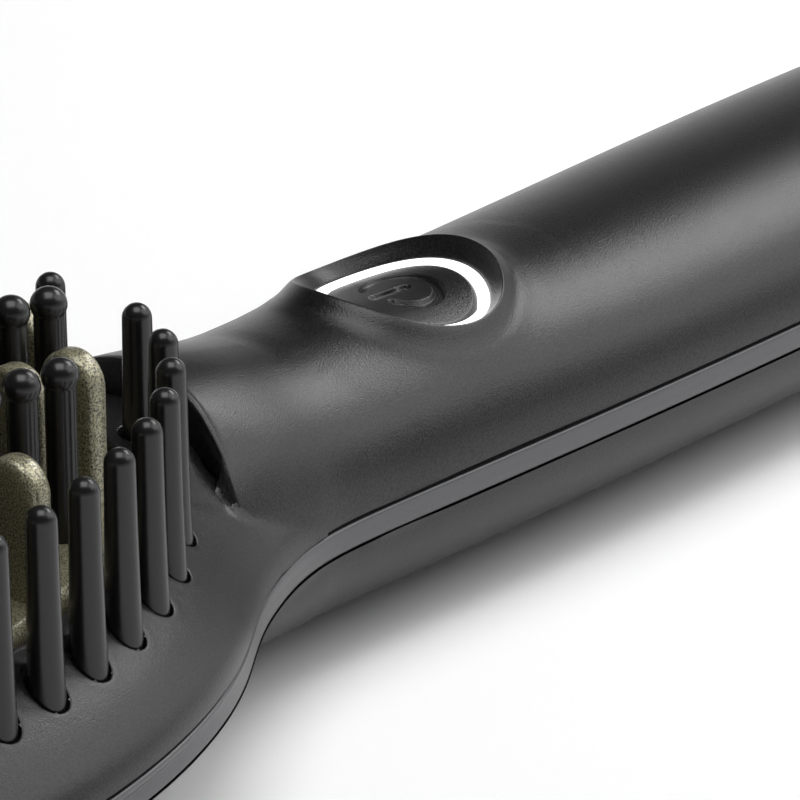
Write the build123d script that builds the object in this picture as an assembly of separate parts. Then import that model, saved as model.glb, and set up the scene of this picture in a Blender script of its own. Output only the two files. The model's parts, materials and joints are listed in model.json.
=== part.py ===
from build123d import *
import math
import os

# Heated styling brush, lying on its back with the bristles up.
# Frame: origin in the middle of the bounding box at floor level, +X from head to handle tail,
# +Y across, +Z up. All sizes in millimetres.

# Driving dimensions of the head and handle
TAIL_END = 145.0
HEAD_X = -86.5
HEAD_LENGTH_RADIUS = 58.5
HEAD_WIDTH_RADIUS = 38.0
TRIM_TOP = 15.7
TRIM_HEIGHT = 2.7
TRIM_DEPTH = 2.4
TONGUE_INSET = 0.8
REVEAL = 0.5
LOWER_REVEAL = 0.15
WALL = 2.2
SHELL_END = 131.0

# Heater plate with its fins
PLATE_LENGTH_RADIUS = 46.5
PLATE_WIDTH_RADIUS = 27.0
PLATE_TOP = 28.7
PLATE_THICKNESS = 3.0
PLATE_GAP = 0.7
FIN_WIDTH = 6.4
FIN_THICKNESS = 2.6
FIN_PITCH = 7.2
FIN_ROW_PITCH = 10.7
FIN_TOP = 46.6

# Ball-tipped pins between the fins
PIN_PITCH = 4.8
PIN_ROW_PITCH = 10.8
PIN_RADIUS = 1.45
PIN_CLEARANCE = 0.15
BALL_RADIUS = 1.75
BALL_SLOPE = 1.5
BALL_HEIGHT = 48.6
CROWN_LENGTHWISE = 0.0019
CROWN_ACROSS = 0.0087

# Guard pins round the head
GUARD_COUNT = 38
GUARD_GAP = 11.4
GUARD_LENGTH_RADIUS = 50.5
GUARD_WIDTH_RADIUS = 31.0
GUARD_TIP = 41.9
GUARD_ROOT_RADIUS = 1.75
GUARD_TIP_RADIUS = 1.42
GUARD_CLEARANCE = 0.2

# Power button and its collar
BUTTON_X = 7.0
BUTTON_TOP = 28.1
BUTTON_RADIUS = 7.6
LIGHT_INNER_RADIUS = 7.95
LIGHT_OUTER_RADIUS = 8.9
BEZEL_OUTER_RADIUS = 10.3
COLLAR_RADIUS = 10.9
COLLAR_RISE = 30.6
COLLAR_SADDLE_RADIUS = 20.8
COLLAR_PITCH_DEGREES = 1.9

# Crescent step where the deck of the head meets the handle
STEP_X = -79.0
STEP_RADIUS = 48.0

# Screws, posts and running fits
SCREW_RADIUS = 1.2
SCREW_HEAD_RADIUS = 2.3
SCREW_HEAD_HEIGHT = 1.5
SCREW_CLEARANCE = 0.15
SCREW_HEAD_CLEARANCE = 0.2
SCREW_SEAT = 9.0
BOSS_RADIUS = 3.2
BOARD_POST_RADIUS = 2.4
HOUSING_JOIN = 14.0
HOUSING_SCREW_XS = (-21.0, 84.0, 108.0)
HOUSING_SCREW_TIP = 22.0
CARRIER_SCREW_TIP = 20.0
PLATE_SCREW_TIP = 24.5
BOARD_SCREW_REACH = 5.0
PILOT_MARGIN = 1.0
RUNNING_FIT = 0.05

# Stack under the heater plate
CARRIER_BOTTOM = 17.0
CARRIER_THICKNESS = 1.6
PIN_PLATE_THICKNESS = 1.8
PIN_PLATE_LENGTH_RADIUS = 45.6
PIN_PLATE_WIDTH_RADIUS = 25.0
GUARD_RING_LENGTH_RADIUS = 53.2
GUARD_RING_WIDTH_RADIUS = 32.8
GUARD_RING_OPENING_LENGTH = 20.0
GUARD_RING_OPENING_WIDTH = 9.0
ELEMENT_HEIGHT = 2.5
ELEMENT_LENGTH = 56.0
ELEMENT_WIDTH = 6.0
SHEET_THICKNESS = 0.5
RIB_WIDTH = 4.5
TAB_REACH = 37.0
LEAD_RADIUS = 0.7
LEAD_HOLE_CLEARANCE = 0.3
LEAD_BEND = 3.5

# Board, switch and lamps inside the handle
BOARD_BOTTOM = 17.5
BOARD_THICKNESS = 1.6
BOARD_START = -10.0
BOARD_END = 72.0
BOARD_WIDTH = 22.0
BEZEL_SEAT = 25.6
LED_HEIGHT = 0.8
STEM_BOTTOM = 23.7
STEM_RADIUS = 1.6
SKIRT_DEPTH = 4.0
SKIRT_WALL = 1.1
CAP_THICKNESS = 1.6
DISH_RADIUS = 60.0
DISH_DEPTH = 0.4
PLUNGER_RADIUS = 1.4
SWITCH_WIDTH = 6.2
SWITCH_HEIGHT = 3.6

# Swivel at the tail
BUSH_Z = 14.4
BUSH_RADIUS = 6.0
BUSH_BORE_RADIUS = 3.6
BUSH_NECK_RADIUS = 4.8
BUSH_INNER_END = 117.0
BUSH_NOSE_START = 135.0
BUSH_NOSE_TAPER = 1.2
FLANGE_RADIUS = 8.0
FLANGE_START = 128.2
FLANGE_END = 130.7
RETAINER_X = 126.6
RETAINER_THICKNESS = 2.6
RETAINER_WIDTH = 15.0
RETAINER_SEAT = 6.0
RETAINER_TOP = 21.5
CONTACT_SEAT = 5.6
CONTACT_START = 117.5
CONTACT_END = 124.5
CONTACT_WIDTH = 3.0
HOLDER_WIDTH = 10.0
HOLDER_HEIGHT = 1.2
RING_XS = (119.5, 122.5)
RING_WIDTH = 1.5

# Levels and places worked out from the driving dimensions
TRIM_BOTTOM = TRIM_TOP - TRIM_HEIGHT
TOP_SHELL_BASE = TRIM_TOP + REVEAL
BOTTOM_SHELL_TOP = TRIM_BOTTOM - LOWER_REVEAL
BOARD_TOP = BOARD_BOTTOM + BOARD_THICKNESS
SWITCH_TOP = BOARD_TOP + SWITCH_HEIGHT
PLATE_BOTTOM = PLATE_TOP - PLATE_THICKNESS
PIN_PLATE_BOTTOM = CARRIER_BOTTOM + CARRIER_THICKNESS
PIN_PLATE_TOP = PIN_PLATE_BOTTOM + PIN_PLATE_THICKNESS
ELEMENT_BOTTOM = PLATE_BOTTOM - ELEMENT_HEIGHT
SHEET_BOTTOM = ELEMENT_BOTTOM - SHEET_THICKNESS
LEAD_X = HEAD_X + 35.0
CARRIER_SCREW_PLACES = [(HEAD_X + sx * 30.0, sy * 15.0) for sx in (-1, 1) for sy in (-1, 1)]
PLATE_SCREW_PLACES = ((HEAD_X - 42.3, 0.0), (HEAD_X + 42.3, 0.0), (HEAD_X, -21.6), (HEAD_X, 21.6))
BOARD_SCREW_PLACES = [(x, y) for x in (-5.0, 66.0) for y in (-8.0, 8.0)]

# Half-width of the outline from under the head to the tail, as (x, half-width)
HANDLE_WIDTHS = ((-52.0, 9.0), (-45.0, 13.5), (-37.0, 16.2), (-30.5, 16.3), (-24.0, 16.0), (-15.0, 15.7), (-5.0, 16.2),
                 (7.0, 16.9), (27.0, 17.9), (60.0, 18.9), (100.0, 19.1), (122.0, 18.3), (131.0, 17.4))
# Crest of the handle above the floor, as (x, height)
HANDLE_CRESTS = ((-37.0, 32.1), (-30.5, 31.8), (-24.0, 30.7), (-15.0, 29.4), (-5.0, 28.9),
                 (7.0, 28.8), (27.0, 28.5), (60.0, 28.5), (100.0, 28.1), (122.0, 26.9), (131.0, 25.8))
# Belly of the handle above the floor, as (x, height)
HANDLE_BELLIES = ((-52.0, 6.5), (-45.0, 3.9), (-37.0, 1.9), (-30.5, 1.5), (-24.0, 1.2), (-15.0, 0.8), (-5.0, 0.6),
                  (7.0, 0.5), (27.0, 0.45), (60.0, 0.45), (100.0, 0.7), (122.0, 1.9), (131.0, 2.8))
# Side of the neck where the head flares into the handle, as (x, half-width)
NECK_FLARE = ((-36.4, 21.1), (-32.0, 18.9), (-27.4, 17.1), (-22.4, 15.95), (-16.0, 15.6))
# Rounding of the head above the seam, as (height, inset from the outline)
DECK_LEVELS = ((16.2, 0.0), (18.0, 0.6), (20.0, 1.9), (22.0, 4.0), (23.6, 6.1), (26.0, 8.5),
               (27.5, 10.3), (28.5, 13.0))
# Rounding of the head below the seam, as (height, inset from the outline)
BACK_LEVELS = ((12.85, 0.1), (10.6, 5.0), (7.5, 12.2))
# The shallow dome below that, as (height, inset from the outline)
DOME_LEVELS = ((7.8, 12.9), (3.6, 17.5), (0.9, 20.8), (0.0, 22.5))


def side_points(inset):
    """Points along the +Y side of head and neck, from the nose to the neck, moved inward."""
    points = []
    for degrees in (180, 168, 155, 140, 122, 104, 88, 72, 57, 45):
        angle = math.radians(degrees)
        points.append((HEAD_X + (HEAD_LENGTH_RADIUS - inset) * math.cos(angle),
                       (HEAD_WIDTH_RADIUS - inset) * math.sin(angle)))
    before = points[-1]
    for (x, y), (next_x, next_y) in zip(NECK_FLARE, NECK_FLARE[1:] + ((-9.0, 15.6),)):
        run = math.hypot(next_x - before[0], next_y - before[1])
        points.append((x + inset * (next_y - before[1]) / run, y - inset * (next_x - before[0]) / run))
        before = (x, y)
    return points


def head_face(height, inset):
    """The head's outline with its neck at one height, closed across inside the handle."""
    upper = side_points(inset)
    lower = [(x, -y) for x, y in reversed(upper[1:])]
    with BuildSketch(Plane.XY.offset(height)) as sketch:
        with BuildLine():
            Spline(*lower, *upper)
            Line(upper[-1], lower[0])
        make_face()
    return sketch.sketch


def head_solid(levels, inset, drop):
    """The head as a stack of outlines, each level moved inward and down by the wall."""
    faces = [head_face(height + drop, level_inset + inset) for height, level_inset in levels]
    return loft(faces, ruled=True)


def dome_solid(levels, inset, drop):
    """The shallow dome under the head, as a stack of ellipses."""
    faces = [Pos(HEAD_X, 0, height + drop) * Ellipse(HEAD_LENGTH_RADIUS - level_inset - inset,
                                                    HEAD_WIDTH_RADIUS - level_inset - inset)
             for height, level_inset in levels]
    return loft(faces, ruled=True)


def arch_face(x, half_width, base, crest):
    """Half an ellipse across the handle, standing on the height of its base."""
    with BuildSketch(Plane(origin=(x, 0, base), x_dir=(0, 1, 0), z_dir=(1, 0, 0))) as sketch:
        with BuildLine():
            if crest > base:
                EllipticalCenterArc((0, 0), half_width, crest - base, arc_size=180)
            else:
                EllipticalCenterArc((0, 0), half_width, base - crest, start_angle=180, arc_size=180)
            Line((-half_width, 0), (half_width, 0))
        make_face()
    return sketch.sketch


def value_at(stations, x):
    """Value at x, straight between stations."""
    for (x_before, before), (x_after, after) in zip(stations, stations[1:]):
        if x_before <= x <= x_after:
            return before + (after - before) * (x - x_before) / (x_after - x_before)
    return stations[-1][1]


def handle_solid(heights, base, inset, start, end):
    """The handle above or below its seam, from one station to another."""
    faces = []
    direction = 1 if heights[0][1] > base else -1
    for x, height in heights:
        if start <= x <= end:
            half_width = value_at(HANDLE_WIDTHS, x)
            faces.append(arch_face(x, half_width - inset, base, height - direction * inset))
    return loft(faces)


def upright(x, y, radius, low, high):
    """A vertical cylinder between two heights."""
    return Pos(x, y, (low + high) / 2) * Cylinder(radius, high - low)


def oval(x, length_radius, width_radius, low, high):
    """A vertical elliptic slab between two heights."""
    return Pos(x, 0, low) * extrude(Ellipse(length_radius, width_radius), high - low)


def block(x, y, length, width, low, high):
    """A rectangular block standing between two heights."""
    return Pos(x, y, (low + high) / 2) * Box(length, width, high - low)


def plan_solid(inset, low, high):
    """The whole outline of head and handle moved inward, as a slab between two heights."""
    upper = side_points(inset)[:-1]
    upper += [(x, half_width - inset) for x, half_width in HANDLE_WIDTHS if x > NECK_FLARE[-1][0]]
    lower = [(x, -y) for x, y in reversed(upper[1:])]
    with BuildSketch(Plane.XY.offset(low)) as sketch:
        with BuildLine():
            Spline(*lower, *upper)
            Line(upper[-1], lower[0])
        make_face()
    return extrude(sketch.sketch, high - low)


def ring_solid(outer_inset, inner_inset, low, high):
    """A band that follows the outline, open where the tail cap closes the handle."""
    return plan_solid(outer_inset, low, high) - plan_solid(inner_inset, low, high)


def turned(points, x):
    """A solid turned about an upright line at x, from its radius and height outline."""
    with BuildSketch(Plane.XZ) as sketch:
        with BuildLine():
            Polyline(*points, close=True)
        make_face()
    return Pos(x, 0, 0) * revolve(sketch.sketch, Axis.Z)


def collar_cap():
    """The saddle that trims the collar, curved across the handle and falling toward the tail."""
    lie = Rot(0, 90 + COLLAR_PITCH_DEGREES, 0)
    return Pos(BUTTON_X, 0, COLLAR_RISE - COLLAR_SADDLE_RADIUS) * lie * Cylinder(COLLAR_SADDLE_RADIUS, 50)


def collar():
    """The raised ring that swells out of the handle round the button."""
    with BuildSketch(Plane.XZ) as sketch:
        with BuildLine():
            rise = Spline((COLLAR_RADIUS + 5.2, COLLAR_RISE - 9.5), (COLLAR_RADIUS + 2.6, COLLAR_RISE - 5.2),
                          (COLLAR_RADIUS + 0.8, COLLAR_RISE - 2.2), (COLLAR_RADIUS, COLLAR_RISE + 1.0))
            Polyline(rise @ 1, (0, COLLAR_RISE + 1.0), (0, COLLAR_RISE - 9.5), rise @ 0)
        make_face()
    return (Pos(BUTTON_X, 0, 0) * revolve(sketch.sketch, Axis.Z)) & collar_cap()


def guard_places():
    """Where the guard pins stand: evenly round an oval, apart from a wider gap toward the handle."""
    steps = 3600
    lengths = [0.0]
    before = (GUARD_LENGTH_RADIUS, 0.0)
    for step in range(1, steps + 1):
        angle = 2 * math.pi * step / steps
        point = (GUARD_LENGTH_RADIUS * math.cos(angle), GUARD_WIDTH_RADIUS * math.sin(angle))
        lengths.append(lengths[-1] + math.hypot(point[0] - before[0], point[1] - before[1]))
        before = point
    places = []
    step = 0
    for number in range(GUARD_COUNT):
        target = GUARD_GAP / 2 + (lengths[-1] - GUARD_GAP) * number / (GUARD_COUNT - 1)
        while lengths[step] < target:
            step += 1
        angle = 2 * math.pi * step / steps
        places.append((HEAD_X + GUARD_LENGTH_RADIUS * math.cos(angle), GUARD_WIDTH_RADIUS * math.sin(angle)))
    return places


def crown(height, x, y):
    """A height that falls away from the middle of the head, as the bristle tips do."""
    return height - CROWN_LENGTHWISE * (x - HEAD_X) ** 2 - CROWN_ACROSS * y ** 2


def pin_places():
    """Where the ball-tipped pins stand: four rows between the rows of fins."""
    places = []
    for row, reach in ((0.5, 8), (1.5, 6)):
        for side in (-1, 1):
            for number in range(-reach, reach + 1):
                places.append((HEAD_X + number * PIN_PITCH, side * row * PIN_ROW_PITCH))
    return places


def fin_places():
    """Where the heated fins stand: five rows, each row half a pitch from the next."""
    places = []
    for row, count in ((0, 12), (1, 11), (2, 6)):
        for side in ((-1, 1) if row else (1,)):
            for number in range(count):
                offset = (number - (count - 1) / 2) * FIN_PITCH
                places.append((HEAD_X + offset, side * row * FIN_ROW_PITCH))
    return places


def post(x, y, low, radius, high, top_radius):
    """An upright six-sided post that widens or narrows from its foot to its top."""
    taper = math.degrees(math.atan2((radius - top_radius) * math.cos(math.pi / 6), high - low))
    return extrude(Pos(x, y, low) * RegularPolygon(radius, 6), high - low, taper=taper)


def post_stack(x, y, sections):
    """Six-sided posts one on another, from a list of (height, radius)."""
    return [post(x, y, *lower, *upper) for lower, upper in zip(sections, sections[1:])]


def top_outer():
    """Outside of the upper shell: deck, handle with its crescent step, and collar."""
    step = upright(STEP_X, 0, STEP_RADIUS, 10, 45)
    handle = handle_solid(HANDLE_CRESTS, TOP_SHELL_BASE, 0, -40, 140) - step
    return head_solid(DECK_LEVELS, 0, 0) + handle + collar()


def top_shell():
    """Upper shell with the heater window, a hole for each guard pin and the button pocket."""
    inside = head_solid(DECK_LEVELS[::2], WALL, -WALL) + handle_solid(HANDLE_CRESTS, TOP_SHELL_BASE, WALL, -26, 140)
    shell = top_outer() - inside
    for x in HOUSING_SCREW_XS:
        ceiling = value_at(HANDLE_CRESTS, x) - WALL / 2
        boss = upright(x, 0, BOSS_RADIUS, HOUSING_JOIN, ceiling)
        shell = shell + (boss - upright(x, 0, SCREW_RADIUS, HOUSING_JOIN, HOUSING_SCREW_TIP + PILOT_MARGIN))
    shell = shell - oval(HEAD_X, PLATE_LENGTH_RADIUS + PLATE_GAP, PLATE_WIDTH_RADIUS + PLATE_GAP, 20, 32)
    slot = GUARD_ROOT_RADIUS + GUARD_CLEARANCE
    slots = [post(x, y, 16.5, slot, 32, slot)
             for x, y in guard_places()]
    pocket = upright(BUTTON_X, 0, BEZEL_OUTER_RADIUS, BEZEL_SEAT, 40)
    return shell - slots - pocket - upright(BUTTON_X, 0, LIGHT_OUTER_RADIUS + RUNNING_FIT, 17, 40)


def bottom_outer():
    """Outside of the lower shell, flattened where the brush rests."""
    head = head_solid(BACK_LEVELS, 0, 0) + dome_solid(DOME_LEVELS, 0, 0)
    return head + handle_solid(HANDLE_BELLIES, BOTTOM_SHELL_TOP, 0, -60, 140)


def bottom_shell():
    """Lower shell with its screw posts, board posts and the seats at the tail."""
    outside = bottom_outer()
    inside = head_solid(BACK_LEVELS[::2], WALL, WALL) + dome_solid(DOME_LEVELS[::2], WALL, WALL)
    shell = outside - inside - handle_solid(HANDLE_BELLIES, BOTTOM_SHELL_TOP, WALL, -46, 140)
    posts = [upright(x, 0, BOSS_RADIUS, WALL / 2, HOUSING_JOIN) for x in HOUSING_SCREW_XS]
    posts += [upright(x, y, BOSS_RADIUS, WALL, SCREW_SEAT) & outside for x, y in CARRIER_SCREW_PLACES]
    posts += [upright(x, y, BOSS_RADIUS, SCREW_SEAT - 0.2, CARRIER_BOTTOM) for x, y in CARRIER_SCREW_PLACES]
    posts += [upright(x, y, BOARD_POST_RADIUS, 3.2, BOARD_BOTTOM) for x, y in BOARD_SCREW_PLACES]
    posts += [contact_block(3.4, CONTACT_SEAT), block(RETAINER_X, 0, RETAINER_THICKNESS, 14, 3.9, RETAINER_SEAT)]
    shell = shell + posts
    for x, y in [(x, 0) for x in HOUSING_SCREW_XS] + list(CARRIER_SCREW_PLACES):
        shell = shell - upright(x, y, SCREW_HEAD_RADIUS + SCREW_HEAD_CLEARANCE, -1, SCREW_SEAT)
        shell = shell - upright(x, y, SCREW_RADIUS + SCREW_CLEARANCE, SCREW_SEAT, 20)
    for x, y in BOARD_SCREW_PLACES:
        pilot_end = BOARD_BOTTOM - BOARD_SCREW_REACH - PILOT_MARGIN
        shell = shell - upright(x, y, SCREW_RADIUS, pilot_end, BOARD_BOTTOM)
    return shell


def side_trim():
    """The satin band in the seam, with a tongue behind it that both shells close on."""
    band = ring_solid(0, TRIM_DEPTH, TRIM_BOTTOM, TRIM_TOP)
    return band + ring_solid(TONGUE_INSET, TRIM_DEPTH, BOTTOM_SHELL_TOP, TOP_SHELL_BASE)


def heater_plate():
    """Cast plate with a rounded edge, its upright fins and four screw posts underneath."""
    plate = oval(HEAD_X, PLATE_LENGTH_RADIUS, PLATE_WIDTH_RADIUS, PLATE_BOTTOM, PLATE_TOP)
    plate = chamfer(plate.edges().group_by(Axis.Z)[-1], 0.6)
    for x, y in PLATE_SCREW_PLACES:
        plate = plate + (upright(x, y, 2.4, PIN_PLATE_TOP, PLATE_BOTTOM + 0.5)
                         - upright(x, y, SCREW_RADIUS, PIN_PLATE_TOP, PLATE_BOTTOM - 0.4))
    hole = PIN_RADIUS + PIN_CLEARANCE
    holes = [post(x, y, PLATE_BOTTOM - 1, hole, PLATE_TOP + 1, hole) for x, y in pin_places()]
    plate = plate - holes
    return plate + [fin(x, y) for x, y in fin_places()]


def fin(x, y):
    """One upright fin: flat faces across the head and a rounded top."""
    top = crown(FIN_TOP, x, y)
    half = FIN_WIDTH / 2
    shoulder = top - half
    with BuildSketch(Plane(origin=(x - FIN_THICKNESS / 2, y, 0), x_dir=(0, 1, 0), z_dir=(1, 0, 0))) as sketch:
        with BuildLine():
            rounding = [(half * math.cos(math.radians(a)), shoulder + half * math.sin(math.radians(a)))
                        for a in range(0, 181, 45)]
            Polyline((half, PLATE_TOP - 0.5), *rounding, (-half, PLATE_TOP - 0.5), close=True)
        make_face()
    return extrude(sketch.sketch, FIN_THICKNESS)


def bristle_carrier():
    """Plate under the heater with the ball-tipped pins and two ribs that press the elements up."""
    plate = oval(HEAD_X, PIN_PLATE_LENGTH_RADIUS, PIN_PLATE_WIDTH_RADIUS, PIN_PLATE_BOTTOM, PIN_PLATE_TOP)
    for side in (-1, 1):
        y = side * FIN_ROW_PITCH
        plate = plate + block(HEAD_X, y, ELEMENT_LENGTH, RIB_WIDTH, PIN_PLATE_TOP, SHEET_BOTTOM)
        plate = plate - upright(LEAD_X, y, LEAD_RADIUS + LEAD_HOLE_CLEARANCE, PIN_PLATE_BOTTOM, SHEET_BOTTOM)
    for x, y in PLATE_SCREW_PLACES:
        plate = plate - upright(x, y, SCREW_RADIUS + SCREW_CLEARANCE, PIN_PLATE_BOTTOM, PIN_PLATE_TOP)
    for x, y in CARRIER_SCREW_PLACES:
        plate = plate - upright(x, y, SCREW_RADIUS, PIN_PLATE_BOTTOM, CARRIER_SCREW_TIP)
    pins = []
    for x, y in pin_places():
        middle = crown(BALL_HEIGHT, x, y)
        pins += post_stack(x, y, ((PIN_PLATE_TOP - 0.4, PIN_RADIUS), (middle - BALL_SLOPE, PIN_RADIUS),
                                  (middle, BALL_RADIUS), (middle + BALL_SLOPE, PIN_RADIUS)))
    return plate + pins


def guard_carrier():
    """Oval ring under the deck with the guard pins that rise through it."""
    levels = (CARRIER_BOTTOM, PIN_PLATE_BOTTOM)
    ring = oval(HEAD_X, GUARD_RING_LENGTH_RADIUS, GUARD_RING_WIDTH_RADIUS, *levels)
    ring = ring - oval(HEAD_X, GUARD_RING_OPENING_LENGTH, GUARD_RING_OPENING_WIDTH, *levels)
    for x, y in PLATE_SCREW_PLACES + tuple(CARRIER_SCREW_PLACES):
        ring = ring - upright(x, y, SCREW_RADIUS + SCREW_CLEARANCE, *levels)
    for side in (-1, 1):
        ring = ring - upright(LEAD_X, side * FIN_ROW_PITCH, LEAD_RADIUS + LEAD_HOLE_CLEARANCE, *levels)
    low = PIN_PLATE_BOTTOM - 0.4
    neck = GUARD_TIP - 1.2
    pins = []
    for x, y in guard_places():
        pins += post_stack(x, y, ((low, GUARD_ROOT_RADIUS), (neck, GUARD_TIP_RADIUS), (GUARD_TIP, 0.6)))
    return ring + pins


def heating_elements():
    """Two strips of ceramic heaters against the plate, each with a terminal tab."""
    strips = []
    for side in (-1, 1):
        y = side * FIN_ROW_PITCH
        strip = block(HEAD_X, y, ELEMENT_LENGTH, ELEMENT_WIDTH, ELEMENT_BOTTOM, PLATE_BOTTOM)
        tab_start = HEAD_X + ELEMENT_LENGTH / 2
        tab = block((tab_start + HEAD_X + TAB_REACH) / 2, y, HEAD_X + TAB_REACH - tab_start, 3.0,
                    ELEMENT_BOTTOM, ELEMENT_BOTTOM + 0.6)
        strips.append(strip + tab)
    return Compound(children=strips)


def insulating_sheets():
    """A thin sheet between each heater strip and the rib that presses it."""
    return Compound(children=[block(HEAD_X, side * FIN_ROW_PITCH, ELEMENT_LENGTH, ELEMENT_WIDTH + 0.6,
                                    SHEET_BOTTOM, ELEMENT_BOTTOM) for side in (-1, 1)])


def temperature_sensor():
    """Sensor clipped under the plate toward the handle."""
    return block(HEAD_X + 34.0, 0, 4.0, 3.0, PLATE_BOTTOM - 2.0, PLATE_BOTTOM)


def thermal_cutout():
    """Thermal cut-out under the plate toward the nose."""
    return block(HEAD_X - 34.0, 0, 7.0, 4.0, PLATE_BOTTOM - 3.0, PLATE_BOTTOM)


def screw(x, y, seat, tip, head_below):
    """One screw with its head below or above the seat."""
    if head_below:
        head = post(x, y, seat - SCREW_HEAD_HEIGHT, SCREW_HEAD_RADIUS, seat, SCREW_HEAD_RADIUS)
    else:
        head = post(x, y, seat, SCREW_HEAD_RADIUS, seat + SCREW_HEAD_HEIGHT, SCREW_HEAD_RADIUS)
    low, high = sorted((seat, tip))
    return head + post(x, y, low, SCREW_RADIUS, high, SCREW_RADIUS)


def button_bezel():
    """Ring inside the collar that slopes down to the light ring."""
    outline = ((LIGHT_OUTER_RADIUS + RUNNING_FIT, BEZEL_SEAT), (BEZEL_OUTER_RADIUS, BEZEL_SEAT),
               (BEZEL_OUTER_RADIUS, COLLAR_RISE), (LIGHT_OUTER_RADIUS + RUNNING_FIT, BUTTON_TOP + 0.4))
    return turned(outline, BUTTON_X) & collar_cap()


def light_ring():
    """Clear sleeve that carries the light from the board up round the button."""
    low = BOARD_TOP + LED_HEIGHT
    return upright(BUTTON_X, 0, LIGHT_OUTER_RADIUS, low, BUTTON_TOP + 0.2) - upright(
        BUTTON_X, 0, LIGHT_INNER_RADIUS, low, BUTTON_TOP + 0.2)


def power_button():
    """Dished button with a skirt that slides in the light ring and a stem over the switch."""
    cap_bottom = BUTTON_TOP - CAP_THICKNESS
    skirt_bottom = BUTTON_TOP - SKIRT_DEPTH
    body = upright(BUTTON_X, 0, BUTTON_RADIUS, skirt_bottom, BUTTON_TOP)
    body = body - upright(BUTTON_X, 0, BUTTON_RADIUS - SKIRT_WALL, skirt_bottom, cap_bottom)
    body = body - Pos(BUTTON_X, 0, BUTTON_TOP - DISH_DEPTH + DISH_RADIUS) * Sphere(DISH_RADIUS)
    return body + upright(BUTTON_X, 0, STEM_RADIUS, STEM_BOTTOM, cap_bottom + 0.2)


def tact_switch():
    """Press switch on the board under the button, bored for its plunger."""
    body = block(BUTTON_X, 0, SWITCH_WIDTH, SWITCH_WIDTH, BOARD_TOP, SWITCH_TOP)
    return body - upright(BUTTON_X, 0, PLUNGER_RADIUS + RUNNING_FIT, BOARD_TOP + 1.2, SWITCH_TOP)


def switch_plunger():
    """Plunger that the button's stem rests on."""
    return upright(BUTTON_X, 0, PLUNGER_RADIUS, BOARD_TOP + 2.2, STEM_BOTTOM)


def indicator_leds():
    """Four small lamps under the light ring."""
    reach = (LIGHT_INNER_RADIUS + LIGHT_OUTER_RADIUS) / 2
    return Compound(children=[block(BUTTON_X + reach * math.cos(math.radians(a)),
                                    reach * math.sin(math.radians(a)), 1.6, 1.6, BOARD_TOP,
                                    BOARD_TOP + LED_HEIGHT) for a in (0, 90, 180, 270)])


def circuit_board():
    """Board on four posts along the handle."""
    board = block((BOARD_START + BOARD_END) / 2, 0, BOARD_END - BOARD_START, BOARD_WIDTH,
                  BOARD_BOTTOM, BOARD_TOP)
    hole = SCREW_RADIUS + SCREW_CLEARANCE
    return board - [post(x, y, BOARD_BOTTOM, hole, BOARD_TOP, hole) for x, y in BOARD_SCREW_PLACES]


def lead(points):
    """One insulated lead along straight runs joined by arcs."""
    path = FilletPolyline(*points, radius=LEAD_BEND)
    section = Plane(origin=path @ 0, z_dir=path % 0) * RegularPolygon(LEAD_RADIUS, 6)
    return sweep(section, path=path)


def heater_leads():
    """Two leads from the board to the heater strips."""
    return Compound(children=[lead(((-8.3, s * 5.6, BOARD_BOTTOM), (-8.3, s * 5.6, 12.5),
                                    (-30.0, s * 7.8, 12.8), (LEAD_X, s * FIN_ROW_PITCH, 12.8),
                                    (LEAD_X, s * FIN_ROW_PITCH, ELEMENT_BOTTOM))) for s in (-1, 1)])


def supply_leads():
    """Two leads from the swivel contacts to the board."""
    return Compound(children=[lead(((70.4, s * 6.0, BOARD_BOTTOM), (70.4, s * 6.0, 8.0),
                                    (90.0, s * 6.2, 7.0), (105.0, s * 4.3, CONTACT_SEAT + 0.7),
                                    (CONTACT_START, s * 4.3, CONTACT_SEAT + 0.7)))
                              for s in (-1, 1)])


def contact_block(low, high):
    """A block between two heights under the swivel's rings."""
    middle = (CONTACT_START + CONTACT_END) / 2
    return block(middle, 0, CONTACT_END - CONTACT_START, HOLDER_WIDTH, low, high)


def contact_holder():
    """Block that carries the two swivel contacts."""
    return contact_block(CONTACT_SEAT, CONTACT_SEAT + HOLDER_HEIGHT)


def swivel_contacts():
    """Two contacts that run on the rings of the swivel."""
    return Compound(children=[block(x, 0, RING_WIDTH, CONTACT_WIDTH, CONTACT_SEAT + HOLDER_HEIGHT,
                                    BUSH_Z - BUSH_RADIUS - RUNNING_FIT) for x in RING_XS])


def lengthwise(radius, start, end):
    """A round bar along the handle on the swivel's axis."""
    return Pos((start + end) / 2, 0, BUSH_Z) * Rot(0, 90, 0) * Cylinder(radius, end - start)


def slip_rings():
    """Two metal rings on the inner end of the swivel."""
    return Compound(children=[lengthwise(BUSH_RADIUS, x - RING_WIDTH / 2, x + RING_WIDTH / 2)
                              - lengthwise(BUSH_NECK_RADIUS, x - RING_WIDTH / 2, x + RING_WIDTH / 2)
                              for x in RING_XS])


def cord_bush():
    """Swivelling bush at the tail, bored for the supply cord."""
    nose = Pos((BUSH_NOSE_START + TAIL_END) / 2, 0, BUSH_Z) * Rot(0, 90, 0) * Cone(
        BUSH_RADIUS, BUSH_RADIUS - BUSH_NOSE_TAPER, TAIL_END - BUSH_NOSE_START)
    body = lengthwise(BUSH_NECK_RADIUS, BUSH_INNER_END, FLANGE_START)
    body = body + lengthwise(FLANGE_RADIUS, FLANGE_START, FLANGE_END)
    body = body + lengthwise(BUSH_RADIUS, FLANGE_END, BUSH_NOSE_START) + nose
    return body - lengthwise(BUSH_BORE_RADIUS, BUSH_INNER_END, TAIL_END)


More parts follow.
